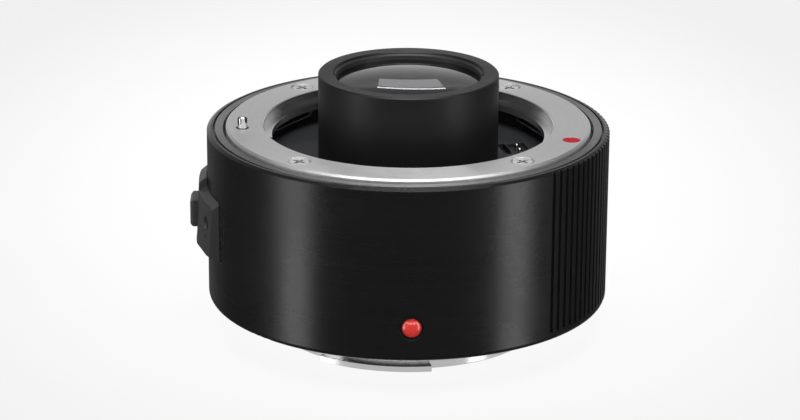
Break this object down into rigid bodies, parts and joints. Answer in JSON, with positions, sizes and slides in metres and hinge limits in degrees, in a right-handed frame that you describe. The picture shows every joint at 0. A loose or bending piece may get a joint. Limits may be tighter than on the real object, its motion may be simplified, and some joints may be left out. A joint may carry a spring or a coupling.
{
  "type": "camera teleconverter",
  "caption": "Short black lens barrel with a bayonet mount at each end, a protruding front lens tube, sprung contact pins, and a side release that lowers the lock pin.",
  "frame": {"origin": "centre of the camera flange plane, on the optical axis", "axes": "+Z along the optical axis towards the lens; -Y is the side with the red index dome; -X is the side with the release"},
  "size_m": [0.0749, 0.0721, 0.0469],
  "materials": {
    "black_anodised": "fine satin anodised black",
    "mount_steel": "satin turned steel",
    "mount_chrome": "polished",
    "red_enamel": "glossy red",
    "spring_steel": "drawn wire",
    "frame_black": "moulded, matte",
    "tube_black": "matte black",
    "lock_ring": "turned",
    "coated_glass": "polished, coated",
    "inner_glass": "polished",
    "block_plastic": "moulded",
    "gold_contact": "gold plated",
    "board_green": "solder mask",
    "small_steel": "bright screw",
    "chip_black": "moulded",
    "capacitor_tan": "ceramic",
    "flex_amber": "film",
    "black_plastic": "fine grain",
    "seal_rubber": "matte rubber",
    "black_screw": "black oxide",
    "carrier_steel": "pressed sheet",
    "pin_steel": "ground"
  },
  "bodies": {
    "body": {"barrel": "black_anodised", "front_trim_ring": "black_anodised", "index_dome": "red_enamel", "lens_mount_ring": "mount_steel", "lens_mount_screws": "mount_steel", "lens_index_dot": "red_enamel", "bayonet_springs": "spring_steel", "main_frame": "frame_black", "lens_tube": "tube_black", "tube_lock_ring": "lock_ring", "front_retaining_ring": "tube_black", "front_element": "coated_glass", "front_spacer": "tube_black", "doublet_front": "inner_glass", "doublet_rear": "inner_glass", "triplet_front": "inner_glass", "triplet_middle": "inner_glass", "triplet_rear": "inner_glass", "rear_spacer": "tube_black", "rear_doublet_front": "inner_glass", "rear_doublet_rear": "coated_glass", "rear_retaining_ring": "tube_black", "contact_block": "block_plastic", "contact_springs": "spring_steel", "circuit_board": "board_green", "board_screws": "small_steel", "control_chip": "chip_black", "board_capacitors": "capacitor_tan", "link_flex": "flex_amber", "rear_contact_block": "block_plastic", "rear_contact_pads": "gold_contact", "rear_block_screws": "small_steel", "rear_baffle": "black_plastic", "baffle_screws": "small_steel", "camera_mount_ring": "mount_chrome", "camera_mount_screws": "mount_steel", "rear_seal": "seal_rubber", "barrel_screws": "small_steel", "release_guard": "black_plastic", "guard_screws": "black_screw", "release_spring": "spring_steel"},
    "release": {"release_knob": "black_plastic", "release_carrier": "carrier_steel", "carrier_screw": "small_steel", "lock_pin": "pin_steel", "pin_clip": "small_steel"},
    "contact_pin_01": {"contact_pin_01": "gold_contact"},
    "contact_pin_02": {"contact_pin_02": "gold_contact"},
    "contact_pin_03": {"contact_pin_03": "gold_contact"},
    "contact_pin_04": {"contact_pin_04": "gold_contact"},
    "contact_pin_05": {"contact_pin_05": "gold_contact"},
    "contact_pin_06": {"contact_pin_06": "gold_contact"},
    "contact_pin_07": {"contact_pin_07": "gold_contact"},
    "contact_pin_08": {"contact_pin_08": "gold_contact"},
    "contact_pin_09": {"contact_pin_09": "gold_contact"},
    "contact_pin_10": {"contact_pin_10": "gold_contact"}
  },
  "joints": [
    {"name": "release_slide", "type": "slide", "parent": "body", "child": "release", "axis": [0, 0, -1], "range_m": [0, 0.0022], "stiffness_N_per_m": 900, "springref_m": -0.001, "deforming": ["release_spring"]},
    {"name": "contact_pin_01_slide", "type": "slide", "parent": "body", "child": "contact_pin_01", "axis": [0, 0, -1], "range_m": [0, 0.0007], "stiffness_N_per_m": 400, "springref_m": -0.0004, "deforming": ["contact_springs"]},
    {"name": "contact_pin_02_slide", "type": "slide", "parent": "body", "child": "contact_pin_02", "axis": [0, 0, -1], "range_m": [0, 0.0007], "stiffness_N_per_m": 400, "springref_m": -0.0004, "deforming": ["contact_springs"]},
    {"name": "contact_pin_03_slide", "type": "slide", "parent": "body", "child": "contact_pin_03", "axis": [0, 0, -1], "range_m": [0, 0.0007], "stiffness_N_per_m": 400, "springref_m": -0.0004, "deforming": ["contact_springs"]},
    {"name": "contact_pin_04_slide", "type": "slide", "parent": "body", "child": "contact_pin_04", "axis": [0, 0, -1], "range_m": [0, 0.0007], "stiffness_N_per_m": 400, "springref_m": -0.0004, "deforming": ["contact_springs"]},
    {"name": "contact_pin_05_slide", "type": "slide", "parent": "body", "child": "contact_pin_05", "axis": [0, 0, -1], "range_m": [0, 0.0007], "stiffness_N_per_m": 400, "springref_m": -0.0004, "deforming": ["contact_springs"]},
    {"name": "contact_pin_06_slide", "type": "slide", "parent": "body", "child": "contact_pin_06", "axis": [0, 0, -1], "range_m": [0, 0.0007], "stiffness_N_per_m": 400, "springref_m": -0.0004, "deforming": ["contact_springs"]},
    {"name": "contact_pin_07_slide", "type": "slide", "parent": "body", "child": "contact_pin_07", "axis": [0, 0, -1], "range_m": [0, 0.0007], "stiffness_N_per_m": 400, "springref_m": -0.0004, "deforming": ["contact_springs"]},
    {"name": "contact_pin_08_slide", "type": "slide", "parent": "body", "child": "contact_pin_08", "axis": [0, 0, -1], "range_m": [0, 0.0007], "stiffness_N_per_m": 400, "springref_m": -0.0004, "deforming": ["contact_springs"]},
    {"name": "contact_pin_09_slide", "type": "slide", "parent": "body", "child": "contact_pin_09", "axis": [0, 0, -1], "range_m": [0, 0.0007], "stiffness_N_per_m": 400, "springref_m": -0.0004, "deforming": ["contact_springs"]},
    {"name": "contact_pin_10_slide", "type": "slide", "parent": "body", "child": "contact_pin_10", "axis": [0, 0, -1], "range_m": [0, 0.0007], "stiffness_N_per_m": 400, "springref_m": -0.0004, "deforming": ["contact_springs"]}
  ]
}
